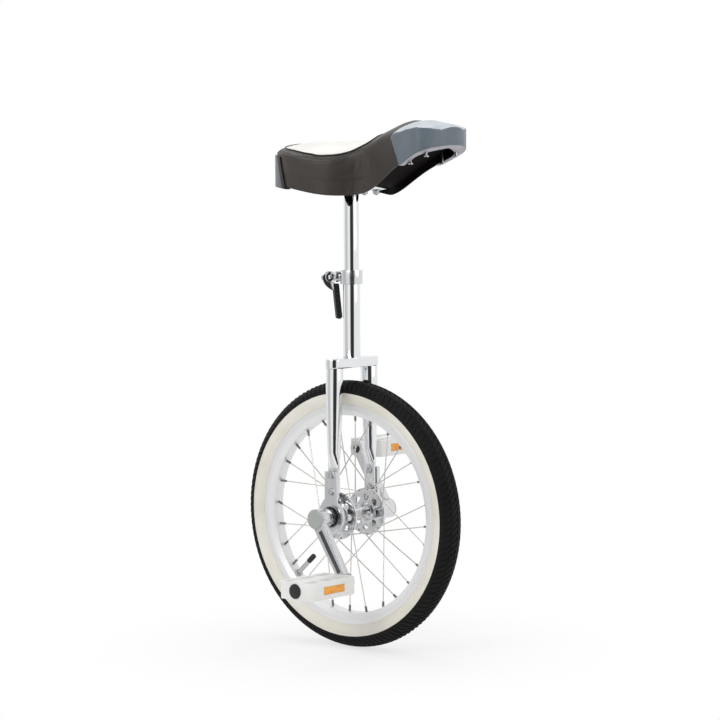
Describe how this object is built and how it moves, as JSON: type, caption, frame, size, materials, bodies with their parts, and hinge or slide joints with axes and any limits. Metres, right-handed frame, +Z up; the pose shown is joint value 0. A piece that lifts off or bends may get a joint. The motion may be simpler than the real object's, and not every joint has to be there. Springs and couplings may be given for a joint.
{
  "type": "unicycle",
  "caption": "Single-wheel cycle with a fork frame, cranks on the hub, flat pedals and a long curved saddle on a clamped sliding post.",
  "frame": {"origin": "point where the tyre touches the ground, under the middle of the hub", "axes": "+X forwards, towards the saddle's nose; +Y to the rider's left, along the hub axle; +Z up, along the seat post"},
  "size_m": [0.446, 0.428, 0.8774],
  "materials": {
    "chrome_tube": "polished chrome",
    "alloy_polished": "polished alloy",
    "alloy_anodised": "satin silver anodised",
    "alloy_rim": "satin silver",
    "steel_wire": "bright stainless wire",
    "steel_bright": "zinc plated",
    "steel_hard": "ground bearing steel",
    "brass_plated": "nickel plated",
    "tyre_rubber": "matte black with a cream side wall",
    "tube_rubber": "soft matte",
    "tape_rubber": "soft matte",
    "grip_rubber": "fine ribbed",
    "cover_top": "smooth white vinyl",
    "cover_side": "dark brown vinyl",
    "bumper_grey": "satin grey",
    "plastic_black": "satin black",
    "plastic_white": "smooth white",
    "plastic_grey": "satin grey",
    "reflector_amber": "clear amber lens",
    "foam": "soft open foam",
    "cage_plastic": "moulded nylon"
  },
  "bodies": {
    "frame": {"seat_tube": "chrome_tube", "fork_crown": "chrome_tube", "fork_leg_right": "chrome_tube", "fork_leg_left": "chrome_tube", "bearing_holder_right": "alloy_anodised", "bearing_holder_left": "alloy_anodised", "bearing_outer_rings": "steel_hard", "bearing_seals": "tube_rubber", "holder_bolts": "steel_bright", "holder_nuts": "steel_bright", "seat_clamp_collar": "alloy_polished", "clamp_skewer": "steel_bright", "clamp_cam_seat": "plastic_black", "clamp_lever_pin": "steel_bright"},
    "wheel": {"tyre": "tyre_rubber", "inner_tube": "tube_rubber", "rim": "alloy_rim", "rim_tape": "tape_rubber", "valve_stem": "brass_plated", "valve_nut": "brass_plated", "valve_cap": "plastic_black", "spokes_right": "steel_wire", "spokes_left": "steel_wire", "spoke_nipples": "brass_plated", "hub_shell": "alloy_polished", "hub_axle": "steel_bright", "bearing_inner_rings": "steel_hard", "crank_right": "alloy_polished", "crank_left": "alloy_polished", "crank_bolts": "steel_bright", "crank_caps": "plastic_grey", "pedal_spindle_right": "steel_bright", "pedal_spindle_left": "steel_bright", "pedal_nut_right": "steel_bright", "pedal_nut_left": "steel_bright"},
    "ball_train": {"bearing_balls": "steel_hard", "bearing_cages": "steel_bright"},
    "pedal_right": {"pedal_body_right": "plastic_white", "pedal_cap_right": "plastic_black", "pedal_reflectors_right": "reflector_amber", "pedal_bushes_right": "cage_plastic"},
    "pedal_left": {"pedal_body_left": "plastic_white", "pedal_cap_left": "plastic_black", "pedal_reflectors_left": "reflector_amber", "pedal_bushes_left": "cage_plastic"},
    "clamp_lever": {"clamp_lever": "chrome_tube", "clamp_lever_grip": "grip_rubber"},
    "clamp_nut": {"clamp_nut": "steel_bright"},
    "seat": {"seat_post": "chrome_tube", "seat_post_plug": "plastic_black", "saddle_top_cover": "cover_top", "saddle_side_cover": "cover_side", "saddle_base": "plastic_black", "saddle_foam": "foam", "saddle_bracket": "steel_bright", "saddle_studs": "steel_bright", "saddle_nuts": "steel_bright", "front_bumper": "bumper_grey", "rear_bumper": "bumper_grey", "bumper_screws": "steel_bright"}
  },
  "joints": [
    {"name": "wheel_spin", "type": "hinge", "parent": "frame", "child": "wheel", "pos_m": [0, 0, 0.223], "axis": [0, 1, 0], "continuous": true},
    {"name": "ball_train_spin", "type": "hinge", "parent": "frame", "child": "ball_train", "pos_m": [0, 0, 0.223], "axis": [0, 1, 0], "continuous": true},
    {"name": "pedal_right_spin", "type": "hinge", "parent": "wheel", "child": "pedal_right", "pos_m": [0.06094, -0.158, 0.12548], "axis": [0, 1, 0], "continuous": true},
    {"name": "pedal_left_spin", "type": "hinge", "parent": "wheel", "child": "pedal_left", "pos_m": [-0.06094, 0.158, 0.32053], "axis": [0, 1, 0], "continuous": true},
    {"name": "seat_height", "type": "slide", "parent": "frame", "child": "seat", "axis": [0, 0, 1], "range_m": [-0.05, 0.045]},
    {"name": "clamp_lever_swing", "type": "hinge", "parent": "frame", "child": "clamp_lever", "pos_m": [-0.03621, -0.01249, 0.6175], "axis": [-0.8192, 0.5736, 0], "range_deg": [0, 120]},
    {"name": "clamp_nut_turn", "type": "hinge", "parent": "frame", "child": "clamp_nut", "pos_m": [-0.01023, 0.02462, 0.6175], "axis": [0.5736, 0.8192, 0], "continuous": true}
  ],
  "couplings": [
    {"joint": "ball_train_spin", "follows": "wheel_spin", "ratio": 0.3818}
  ]
}
